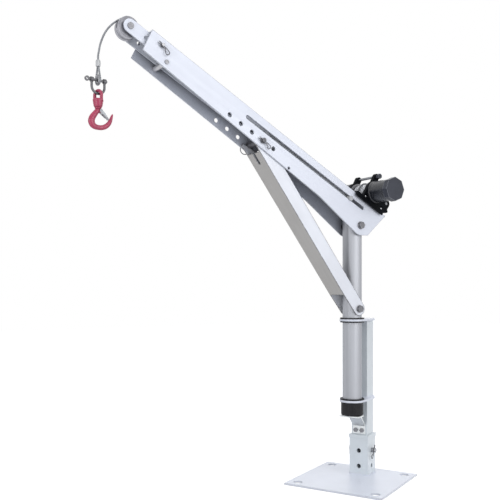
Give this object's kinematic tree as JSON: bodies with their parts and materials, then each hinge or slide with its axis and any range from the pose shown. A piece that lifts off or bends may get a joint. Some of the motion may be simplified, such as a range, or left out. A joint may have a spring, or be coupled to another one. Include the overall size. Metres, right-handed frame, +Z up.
{
  "type": "portable folding crane",
  "caption": "Portable luffing and swivelling crane with a bolted base plate, telescoping jib, pinned brace, rope winch and swivel hook.",
  "frame": {"origin": "centre of the base plate's underside, on the mast's axis", "axes": "+Z up along the mast, +X along the boom's reach, +Y to the motor's side"},
  "size_m": [1.0276, 0.402, 1.2373],
  "materials": {
    "powder_white": "satin powder coat",
    "post_grey": "satin powder coat",
    "boom_white": "pale satin coat",
    "brace_grey": "satin",
    "mast_satin": "satin anodised tube",
    "black_nylon": "matt moulded",
    "bracket_zinc": "dull zinc",
    "zinc_steel": "bright zinc",
    "spring_steel": "drawn wire",
    "roller_grey": "turned",
    "white_nylon": "matt",
    "sheave_grey": "turned",
    "winch_black": "semi-gloss black",
    "cap_black": "satin moulded",
    "bronze": "sintered",
    "drum_steel": "turned",
    "copper": "wound",
    "wire_rope": "stranded",
    "ferrule_alu": "pressed",
    "hook_red": "gloss red"
  },
  "bodies": {
    "base": {"base_plate": "powder_white", "receiver_tube": "post_grey", "post_tube": "post_grey", "upper_ring_plate": "powder_white", "lower_ring_plate": "powder_white", "mast_bushes": "black_nylon", "mast_foot_cup": "black_nylon", "foot_bracket": "bracket_zinc", "bracket_bolts": "zinc_steel", "receiver_pin": "zinc_steel", "receiver_clip": "spring_steel"},
    "mast": {"mast_tube": "mast_satin", "boom_pivot_bolt": "zinc_steel", "brace_pivot_bolt": "zinc_steel", "pivot_nuts": "zinc_steel", "boom_pivot_spacers": "black_nylon", "brace_pivot_washers": "black_nylon"},
    "boom": {"boom_channel": "boom_white", "roller_bolt": "zinc_steel", "jib_lock_pin": "zinc_steel", "brace_pin": "zinc_steel", "pin_clips": "spring_steel", "brace_pin_ring": "spring_steel", "pin_sleeve": "roller_grey", "winch_foot": "winch_black", "foot_screws": "zinc_steel", "motor_support": "winch_black", "gear_support": "winch_black", "shaft_bushes": "bronze", "tie_bars": "zinc_steel", "motor_can": "winch_black", "motor_magnets": "drum_steel", "motor_end_cap": "cap_black", "gearbox_housing": "winch_black", "ring_gear": "drum_steel", "gearbox_cover": "winch_black", "rope_run": "wire_rope"},
    "roller": {"support_roller": "roller_grey"},
    "knob": {"clutch_knob": "cap_black"},
    "rotor": {"armature": "copper"},
    "winch_drum": {"drum": "drum_steel", "rope_winding": "wire_rope"},
    "brace": {"brace_channel": "brace_grey"},
    "jib": {"jib_channel": "boom_white", "jib_guide_bolt": "zinc_steel", "jib_guide_rollers": "white_nylon", "sheave_spacers": "roller_grey", "sheave_axle": "zinc_steel", "rope_bend": "wire_rope"},
    "pulley": {"sheave": "sheave_grey"},
    "line": {"rope_drop": "wire_rope"},
    "rope_end": {"ferrule": "ferrule_alu", "rope_eye": "wire_rope", "thimble": "zinc_steel"},
    "shackle": {"shackle_pin": "zinc_steel", "shackle_bow": "zinc_steel"},
    "swivel": {"hook_eye": "hook_red"},
    "hook": {"hook_body": "hook_red", "latch_pin": "zinc_steel"},
    "gate": {"latch": "spring_steel"}
  },
  "joints": [
    {"name": "mast_swivel", "type": "hinge", "parent": "base", "child": "mast", "pos_m": [0, 0, 0.4], "axis": [0, 0, 1], "continuous": true},
    {"name": "boom_luff", "type": "hinge", "parent": "mast", "child": "boom", "pos_m": [0, 0, 0.7595], "axis": [0, -1, 0], "range_deg": [-31, 16]},
    {"name": "brace_swing", "type": "hinge", "parent": "mast", "child": "brace", "pos_m": [0, 0, 0.5132], "axis": [0, -1, 0], "range_deg": [-25, 13]},
    {"name": "jib_extend", "type": "slide", "parent": "boom", "child": "jib", "axis": [0.8793, 0, 0.4762], "range_m": [0, 0.39], "deforming": ["rope_run"]},
    {"name": "line_plumb", "type": "hinge", "parent": "jib", "child": "line", "pos_m": [0.71868, 0, 1.20897], "axis": [0, -1, 0], "range_deg": [-16.5, 31.5], "deforming": ["rope_bend"]},
    {"name": "hoist", "type": "slide", "parent": "line", "child": "rope_end", "axis": [0, 0, -1], "range_m": [0, 0.85], "deforming": ["rope_drop"]},
    {"name": "drum_spin", "type": "hinge", "parent": "boom", "child": "winch_drum", "pos_m": [-0.05341, 0, 0.86022], "axis": [0, -1, 0], "continuous": true},
    {"name": "sheave_spin", "type": "hinge", "parent": "jib", "child": "pulley", "pos_m": [0.71868, 0, 1.20897], "axis": [0, 1, 0], "continuous": true},
    {"name": "armature_spin", "type": "hinge", "parent": "boom", "child": "rotor", "pos_m": [-0.05341, 0, 0.86022], "axis": [0, 1, 0], "continuous": true},
    {"name": "clutch_turn", "type": "hinge", "parent": "boom", "child": "knob", "pos_m": [-0.05806, 0, 0.9066], "axis": [0, 1, 0], "range_deg": [0, 90]},
    {"name": "roller_spin", "type": "hinge", "parent": "boom", "child": "roller", "pos_m": [0.62927, 0, 1.13258], "axis": [0, 1, 0], "continuous": true},
    {"name": "shackle_swing", "type": "hinge", "parent": "rope_end", "child": "shackle", "pos_m": [0.79168, 0, 1.07097], "axis": [0.9903, 0.1392, 0], "range_deg": [-40, 40]},
    {"name": "eye_rock", "type": "hinge", "parent": "shackle", "child": "swivel", "pos_m": [0.79168, 0, 1.03897], "axis": [0.9903, 0.1392, 0], "range_deg": [-30, 30]},
    {"name": "hook_swivel", "type": "hinge", "parent": "swivel", "child": "hook", "pos_m": [0.79168, 0, 1.00647], "axis": [0, 0, 1], "continuous": true},
    {"name": "latch_open", "type": "hinge", "parent": "hook", "child": "gate", "pos_m": [0.78568, 0, 0.99847], "axis": [0, -1, 0], "range_deg": [0, 38], "stiffness_Nm_per_rad": 0.02, "springref_deg": -28.65}
  ],
  "couplings": [
    {"joint": "brace_swing", "follows": "boom_luff", "ratio": 0.8},
    {"joint": "line_plumb", "follows": "boom_luff", "ratio": -1},
    {"joint": "drum_spin", "follows": "hoist", "rad_per_m": 33.333},
    {"joint": "sheave_spin", "follows": "hoist", "rad_per_m": 38.462}
  ]
}
